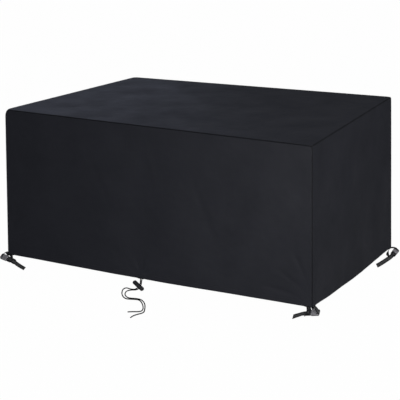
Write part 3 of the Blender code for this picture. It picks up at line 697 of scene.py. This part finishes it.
# %% Refined copies of the mouldings
def make_moulding(node, name, edge):
    """A clean copy of a moulding's solid, its edges rounded by `edge` metres."""
    piece = clean_copy(node, name)
    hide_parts(node)
    bpy.ops.object.mode_set(mode="EDIT")
    bpy.ops.mesh.select_all(action="SELECT")
    bpy.ops.mesh.dissolve_limited(angle_limit=math.radians(1))
    bpy.ops.object.mode_set(mode="OBJECT")
    bevel = piece.modifiers.new("edges", "BEVEL")
    bevel.width = edge
    bevel.segments = 2
    bevel.limit_method = "ANGLE"
    bevel.angle_limit = math.radians(35)
    bpy.ops.object.modifier_apply(modifier=bevel.name)
    bpy.ops.object.shade_smooth_by_angle(angle=math.radians(40))
    print(piece.name, "faces", len(piece.data.polygons))
    return piece


BUCKLE_EDGE, LOCK_EDGE = 0.0004, 0.0003
halves = [corner + "_" + kind for corner in CORNERS for kind in ("socket", "plug")]
buckles = [make_moulding(node, node + "_half", BUCKLE_EDGE) for node in halves]
lock = make_moulding("cord_lock", "cord_lock_bar", LOCK_EDGE)

# %% [markdown]
# ## Stitching
# Thread holds every seam down beside its groove, and the hem channel. One stitch is a small
# rounded bead of thread. It is modelled once, and its points are repeated along each row.

# %% Stitches
STITCH_PITCH = 0.0050
STITCH_LENGTH = 0.0036
STITCH_R = 0.00035
SEAM_STITCH_IN = 0.0065
HEM_STITCH_UP = 0.024


def stitch_mesh():
    """One stitch along X, its points and faces."""
    bpy.ops.object.select_all(action="DESELECT")
    bpy.ops.mesh.primitive_uv_sphere_add(segments=6, ring_count=4, radius=1)
    bead = bpy.context.object
    bpy.ops.object.mode_set(mode="EDIT")
    bpy.ops.mesh.select_all(action="SELECT")
    bpy.ops.transform.rotate(value=math.radians(90), orient_axis="Y", center_override=(0, 0, 0))
    bpy.ops.transform.resize(value=(STITCH_LENGTH / 2, STITCH_R * 1.5, STITCH_R), center_override=(0, 0, 0))
    bpy.ops.object.mode_set(mode="OBJECT")
    points = read_points(bead.data)
    order = np.lexsort(points.T)
    rank = np.argsort(order)
    faces = sorted([int(rank[index]) for index in face.vertices] for face in bead.data.polygons)
    bpy.data.objects.remove(bead, do_unlink=True)
    return points[order], faces


BEAD_POINTS, BEAD_FACES = stitch_mesh()


def stitch_rows(name, rows, hang):
    """Stitches along rows of pattern points. hang gives where pattern points lie."""
    points, faces = [], []
    for start, end in rows:
        start, end = np.array(start), np.array(end)
        run = np.linalg.norm(end - start)
        count = int(run / STITCH_PITCH)
        along = (end - start) / run
        middles = start + np.outer((np.arange(count) + 0.5) * STITCH_PITCH, along)
        flat = np.zeros((count, 3))
        flat[:, :2] = middles
        ahead = flat.copy()
        ahead[:, :2] += along * STITCH_LENGTH / 2
        aside = flat.copy()
        aside[:, :2] += np.array((-along[1], along[0])) * STITCH_LENGTH / 2
        at, forward, sideways = hang(flat), hang(ahead), hang(aside)
        x_axis = forward - at
        x_axis /= np.linalg.norm(x_axis, axis=1)[:, None]
        z_axis = np.cross(x_axis, sideways - at)
        z_axis /= np.linalg.norm(z_axis, axis=1)[:, None]
        y_axis = np.cross(z_axis, x_axis)
        for place, x, y, z in zip(at, x_axis, y_axis, z_axis):
            first = len(points) * len(BEAD_POINTS)
            points.append(place + BEAD_POINTS @ np.array((x, y, z)) + z * STITCH_R * 0.35)
            faces += [[first + index for index in face] for face in BEAD_FACES]
    mesh = bpy.data.meshes.new(name)
    mesh.from_pydata(np.concatenate(points).tolist(), [], faces)
    mesh.shade_smooth()
    thread = bpy.data.objects.new(name, mesh)
    bpy.context.scene.collection.objects.link(thread)
    print(name, "stitches", len(points))
    return thread


def wall_stitch_rows(wall):
    side = wall.half - SEAM_STITCH_IN
    top = TOP_Z - SEAM_STITCH_IN
    foot = HEM_Z + HEM_STITCH_UP
    rows = [((-side, top), (side, top))]
    rows += [((sign * side, foot), (sign * side, top)) for sign in (-1, 1)]
    rows.append(((-side, foot), (side, foot)))
    return rows


threads = [
    stitch_rows(wall.name + "_thread", wall_stitch_rows(wall), lambda flat, wall=wall: hang_wall(wall, flat))
    for wall in WALLS
]
in_x, in_y = LENGTH / 2 - SEAM_STITCH_IN, WIDTH / 2 - SEAM_STITCH_IN
top_rows_of_thread = [((-in_x, side * in_y), (in_x, side * in_y)) for side in (-1, 1)]
top_rows_of_thread += [((side * in_x, -in_y), (side * in_x, in_y)) for side in (-1, 1)]
threads.append(stitch_rows("top_panel_thread", top_rows_of_thread, hang_top))

# %% [markdown]
# ## Finishes
# The cloth is polyester with a water-proof coat: almost black, slightly blue, with a fine plain
# weave that only shows close up, and a cloudy sheen where it has been handled. The same weave
# group serves the webbing at another size. Cord and thread show a braid of small cells instead.
# A group puts out only values.

# %% Helpers for materials
def new_material(name):
    """An empty node material and its Principled shader."""
    material = bpy.data.materials.new(name)
    material.use_nodes = True
    return material, material.node_tree, material.node_tree.nodes["Principled BSDF"]


def add_node(tree, kind, **settings):
    node = tree.nodes.new(kind)
    for setting, value in settings.items():
        setattr(node, setting, value)
    return node


def weave_group():
    """Height of a plain weave and the shade between its threads, from a map in metres."""
    group = bpy.data.node_groups.new("plain_weave", "ShaderNodeTree")
    for name, kind in (("Map", "NodeSocketVector"), ("Threads", "NodeSocketFloat")):
        group.interface.new_socket(name, in_out="INPUT", socket_type=kind)
    for name in ("Height", "Gap"):
        group.interface.new_socket(name, in_out="OUTPUT", socket_type="NodeSocketFloat")
    start = add_node(group, "NodeGroupInput")
    end = add_node(group, "NodeGroupOutput")
    split = add_node(group, "ShaderNodeSeparateXYZ")
    group.links.new(start.outputs["Map"], split.inputs[0])
    waves = []
    for axis in ("X", "Y"):
        scaled = add_node(group, "ShaderNodeMath", operation="MULTIPLY")
        group.links.new(split.outputs[axis], scaled.inputs[0])
        group.links.new(start.outputs["Threads"], scaled.inputs[1])
        turn = add_node(group, "ShaderNodeMath", operation="MULTIPLY")
        turn.inputs[1].default_value = math.pi
        group.links.new(scaled.outputs[0], turn.inputs[0])
        wave = add_node(group, "ShaderNodeMath", operation="SINE")
        group.links.new(turn.outputs[0], wave.inputs[0])
        waves.append(wave)
    over = add_node(group, "ShaderNodeMath", operation="MULTIPLY")
    group.links.new(waves[0].outputs[0], over.inputs[0])
    group.links.new(waves[1].outputs[0], over.inputs[1])
    height = add_node(group, "ShaderNodeMath", operation="ABSOLUTE")
    group.links.new(over.outputs[0], height.inputs[0])
    gap = add_node(group, "ShaderNodeMapRange")
    gap.inputs["From Max"].default_value = 0.35
    gap.inputs["To Min"].default_value = 1.0
    gap.inputs["To Max"].default_value = 0.0
    group.links.new(height.outputs[0], gap.inputs["Value"])
    group.links.new(height.outputs[0], end.inputs["Height"])
    group.links.new(gap.outputs[0], end.inputs["Gap"])
    return group


def cloud_group():
    """A soft mottle from 0 to 1: broad clouds with finer ones in them."""
    group = bpy.data.node_groups.new("soft_clouds", "ShaderNodeTree")
    for name, kind in (("Map", "NodeSocketVector"), ("Scale", "NodeSocketFloat")):
        group.interface.new_socket(name, in_out="INPUT", socket_type=kind)
    group.interface.new_socket("Clouds", in_out="OUTPUT", socket_type="NodeSocketFloat")
    start = add_node(group, "NodeGroupInput")
    end = add_node(group, "NodeGroupOutput")
    texture = add_node(group, "ShaderNodeTexNoise")
    texture.inputs["Detail"].default_value = 4.0
    texture.inputs["Roughness"].default_value = 0.55
    group.links.new(start.outputs["Map"], texture.inputs["Vector"])
    group.links.new(start.outputs["Scale"], texture.inputs["Scale"])
    spread = add_node(group, "ShaderNodeMapRange")
    spread.inputs["From Min"].default_value = 0.3
    spread.inputs["From Max"].default_value = 0.7
    group.links.new(texture.outputs["Fac"], spread.inputs["Value"])
    group.links.new(spread.outputs[0], end.inputs["Clouds"])
    return group


WEAVE, CLOUDS = weave_group(), cloud_group()


def use_group(tree, group, source, name, value):
    node = add_node(tree, "ShaderNodeGroup", node_tree=group)
    tree.links.new(source, node.inputs["Map"])
    node.inputs[name].default_value = value
    return node


def mixed_colour(tree, factor, low, high):
    mix = add_node(tree, "ShaderNodeMix", data_type="RGBA")
    mix.inputs["A"].default_value = (*low, 1)
    mix.inputs["B"].default_value = (*high, 1)
    tree.links.new(factor, mix.inputs["Factor"])
    return mix.outputs["Result"]


def ranged(tree, value, low, high):
    node = add_node(tree, "ShaderNodeMapRange")
    node.inputs["To Min"].default_value = low
    node.inputs["To Max"].default_value = high
    tree.links.new(value, node.inputs["Value"])
    return node.outputs[0]


def bump(tree, height, distance, strength=1.0, under=None):
    node = add_node(tree, "ShaderNodeBump")
    node.inputs["Distance"].default_value = distance
    node.inputs["Strength"].default_value = strength
    tree.links.new(height, node.inputs["Height"])
    if under is not None:
        tree.links.new(under, node.inputs["Normal"])
    return node.outputs["Normal"]


# %% Cloth, webbing, cord, thread and plastic
def cloth_finish(name, low, high, rough_low, rough_high):
    material, tree, shader = new_material(name)
    place = add_node(tree, "ShaderNodeTexCoord")
    weave = use_group(tree, WEAVE, place.outputs["UV"], "Threads", 1400.0)
    clouds = use_group(tree, CLOUDS, place.outputs["Object"], "Scale", 5.5)
    creased = use_group(tree, CLOUDS, place.outputs["Object"], "Scale", 38.0)
    # Painted shade: within 1.5 to 5.5 mm of a seam or of the hem's fold the colour darkens to a quarter,
    # standing in for the shade in the seam grooves and on the folds.
    seam = add_node(tree, "ShaderNodeAttribute", attribute_name="from_seam")
    near = add_node(tree, "ShaderNodeMapRange", interpolation_type="SMOOTHSTEP")
    near.inputs["From Min"].default_value = 0.0015
    near.inputs["From Max"].default_value = 0.0055
    tree.links.new(seam.outputs["Fac"], near.inputs["Value"])
    face = mixed_colour(tree, clouds.outputs["Clouds"], low, high)
    edge = add_node(tree, "ShaderNodeMix", data_type="RGBA")
    edge.inputs["A"].default_value = (*(0.25 * value for value in low), 1)
    tree.links.new(face, edge.inputs["B"])
    tree.links.new(near.outputs[0], edge.inputs["Factor"])
    tree.links.new(edge.outputs["Result"], shader.inputs["Base Color"])
    tree.links.new(ranged(tree, clouds.outputs["Clouds"], rough_high, rough_low), shader.inputs["Roughness"])
    soft = bump(tree, creased.outputs["Clouds"], 0.0006, 0.5)
    tree.links.new(bump(tree, weave.outputs["Height"], 0.00012, 0.6, soft), shader.inputs["Normal"])
    shader.inputs["Specular IOR Level"].default_value = 0.22
    return material


# Painted light on the webbing: the lighter band down its middle is a painted highlight where light catches
# the strap's face, and the near-black edges are painted shade on its rounded selvedges.
WEB_EDGE_SHADE_COLOUR, WEB_MIDDLE_HIGHLIGHT_COLOUR = (0.004, 0.004, 0.005), (0.062, 0.063, 0.065)


def webbing_finish():
    material, tree, shader = new_material("webbing_weave")
    place = add_node(tree, "ShaderNodeTexCoord")
    weave = use_group(tree, WEAVE, place.outputs["UV"], "Threads", 800.0)
    split = add_node(tree, "ShaderNodeSeparateXYZ")
    tree.links.new(place.outputs["UV"], split.inputs[0])
    # Painted highlight down the middle of the strap, painted shade towards its edges.
    middle = add_node(tree, "ShaderNodeMath", operation="PINGPONG")
    middle.inputs[1].default_value = WEB_WIDTH / 2
    tree.links.new(split.outputs["X"], middle.inputs[0])
    highlight_band = add_node(tree, "ShaderNodeMapRange", interpolation_type="SMOOTHSTEP")
    highlight_band.inputs["From Min"].default_value = 0.003
    highlight_band.inputs["From Max"].default_value = 0.0065
    tree.links.new(middle.outputs[0], highlight_band.inputs["Value"])
    colour = mixed_colour(tree, highlight_band.outputs[0], WEB_EDGE_SHADE_COLOUR, WEB_MIDDLE_HIGHLIGHT_COLOUR)
    tree.links.new(colour, shader.inputs["Base Color"])
    tree.links.new(bump(tree, weave.outputs["Height"], 0.00035), shader.inputs["Normal"])
    tree.links.new(ranged(tree, weave.outputs["Gap"], 0.62, 0.85), shader.inputs["Roughness"])
    shader.inputs["Specular IOR Level"].default_value = 0.3
    return material


def braid_finish(name, base, scale, specular):
    material, tree, shader = new_material(name)
    place = add_node(tree, "ShaderNodeTexCoord")
    cells = add_node(tree, "ShaderNodeTexVoronoi")
    cells.inputs["Scale"].default_value = scale
    tree.links.new(place.outputs["Object"], cells.inputs["Vector"])
    # Painted light on cord and thread: each cell is painted 2.2 times lighter in its middle than at its rim,
    # a painted highlight on the strands with painted shade between them.
    strand_highlight = tuple(2.2 * value for value in base)
    colour = mixed_colour(tree, cells.outputs["Distance"], strand_highlight, base)
    tree.links.new(colour, shader.inputs["Base Color"])
    tree.links.new(bump(tree, cells.outputs["Distance"], 0.0006), shader.inputs["Normal"])
    shader.inputs["Roughness"].default_value = 0.7
    shader.inputs["Specular IOR Level"].default_value = specular
    return material


def plastic_finish(name, low, high, rough):
    material, tree, shader = new_material(name)
    place = add_node(tree, "ShaderNodeTexCoord")
    grain = add_node(tree, "ShaderNodeTexNoise")
    grain.inputs["Scale"].default_value = 2200.0
    tree.links.new(place.outputs["Object"], grain.inputs["Vector"])
    clouds = use_group(tree, CLOUDS, place.outputs["Object"], "Scale", 60.0)
    tree.links.new(mixed_colour(tree, clouds.outputs["Clouds"], low, high), shader.inputs["Base Color"])
    tree.links.new(ranged(tree, clouds.outputs["Clouds"], rough, rough + 0.12), shader.inputs["Roughness"])
    tree.links.new(bump(tree, grain.outputs["Fac"], 0.00008, 0.6), shader.inputs["Normal"])
    return material


cloth = cloth_finish("coated_cloth", (0.0190, 0.0200, 0.0265), (0.0235, 0.0245, 0.0320), 0.50, 0.62)
lining = cloth_finish("coated_underside", (0.030, 0.031, 0.035), (0.038, 0.039, 0.044), 0.36, 0.46)
webbing = webbing_finish()
braid = braid_finish("braided_cord", (0.0020, 0.0020, 0.0022), 900.0, 0.15)
thread_finish = braid_finish("sewing_thread", (0.018, 0.018, 0.022), 3000.0, 0.5)
plastic = plastic_finish("moulded_plastic", (0.020, 0.020, 0.023), (0.030, 0.030, 0.034), 0.30)
# Painted highlight: the sockets are the same black plastic as the plugs, and this lighter grey stands in for
# light glinting on their glossy faces.
painted_glint_plastic = plastic_finish("painted_glint_plastic", (0.215, 0.208, 0.225), (0.280, 0.272, 0.292), 0.28)


def dress(piece, slot, *materials):
    """Gives a piece its finish and its body; its slot is not used."""
    piece.data.materials.clear()
    for material in materials:
        piece.data.materials.append(material)
    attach(piece, BODY)


for sheet in [*wall_sheets.values(), top_sheet]:
    inner = [face.material_index for face in sheet.data.polygons]
    dress(sheet, "cloth", cloth, lining)
    sheet.data.polygons.foreach_set("material_index", inner)
for strap, _ in straps:
    dress(strap, "webbing", webbing)
for piece in [*buckles, lock]:
    # The sockets take the plastic with the painted highlight.
    dress(piece, "plastic", painted_glint_plastic if "socket" in piece.name else plastic)
for piece in threads:
    dress(piece, "cloth", thread_finish)
for cord, _, _ in cords.values():
    dress(cord, "cord", braid)

# %% [markdown]

# %% [markdown]
# ## Floor and light
# A pale floor without a horizon, which shines only for the camera, and four large soft lamps. The
# one low in front is nearest to the right corner, so the front wall grows lighter towards it. One
# lights the right wall, one the left of the top, and a faint one the back.

# %% Floor
FLOOR_SIZE = 90.0
bpy.ops.object.select_all(action="DESELECT")
bpy.ops.mesh.primitive_plane_add(size=FLOOR_SIZE, location=(0, 0, FLOOR_Z))
floor = bpy.context.object
floor.name = "floor"
floor_paint, floor_tree, floor_shader = new_material("pale_floor")
floor_shader.inputs["Base Color"].default_value = (0.35, 0.35, 0.35, 1)
floor_shader.inputs["Roughness"].default_value = 0.9
floor_shader.inputs["Specular IOR Level"].default_value = 0.0
glow = add_node(floor_tree, "ShaderNodeEmission")
ray = add_node(floor_tree, "ShaderNodeLightPath")
share = add_node(floor_tree, "ShaderNodeMapRange")
share.inputs["To Min"].default_value = 0.02
share.inputs["To Max"].default_value = 0.99
floor_tree.links.new(ray.outputs["Is Camera Ray"], share.inputs["Value"])
blend = add_node(floor_tree, "ShaderNodeMixShader")
floor_tree.links.new(share.outputs[0], blend.inputs[0])
floor_tree.links.new(floor_shader.outputs[0], blend.inputs[1])
floor_tree.links.new(glow.outputs[0], blend.inputs[2])
output = next(node for node in floor_tree.nodes if node.type == "OUTPUT_MATERIAL")
floor_tree.links.new(blend.outputs[0], output.inputs["Surface"])
floor.data.materials.append(floor_paint)

# %% Lamps
Lamp = namedtuple("Lamp", "name place target size watts colour")
LAMPS = (
    Lamp("over_left", (-1.6, 0.6, 2.2), (-0.4, 0.0, 0.0), 2.4, 2.5, (0.74, 0.76, 1)),
    Lamp("right_side", (3.4, -0.85, 2.0), (0.76, -0.3, 0.0), 1.6, 68, (1, 1, 1)),
    Lamp("front_right", (1.1, -3.1, -0.42), (0.3, -0.5, -0.56), 1.1, 39.5, (1, 1, 1)),
    Lamp("back_left", (-3.5, 3.0, 1.0), (0.0, 0.0, 0.0), 3.0, 12, (0.66, 0.73, 1)),
)
for lamp in LAMPS:
    place, target = Vector(lamp.place), Vector(lamp.target)
    bpy.ops.object.light_add(type="AREA", location=place, rotation=look_from(place, target))
    light = bpy.context.object
    light.name = lamp.name
    light.data.size = lamp.size
    light.data.energy = lamp.watts
    light.data.color = lamp.colour
world = bpy.context.scene.world or bpy.data.worlds.new("studio")
bpy.context.scene.world = world
world.use_nodes = True
sky = world.node_tree.nodes["Background"]
sky.inputs["Color"].default_value = (0.90, 0.93, 1.0, 1)
sky.inputs["Strength"].default_value = 0.13
bpy.context.scene.view_settings.view_transform = "Standard"
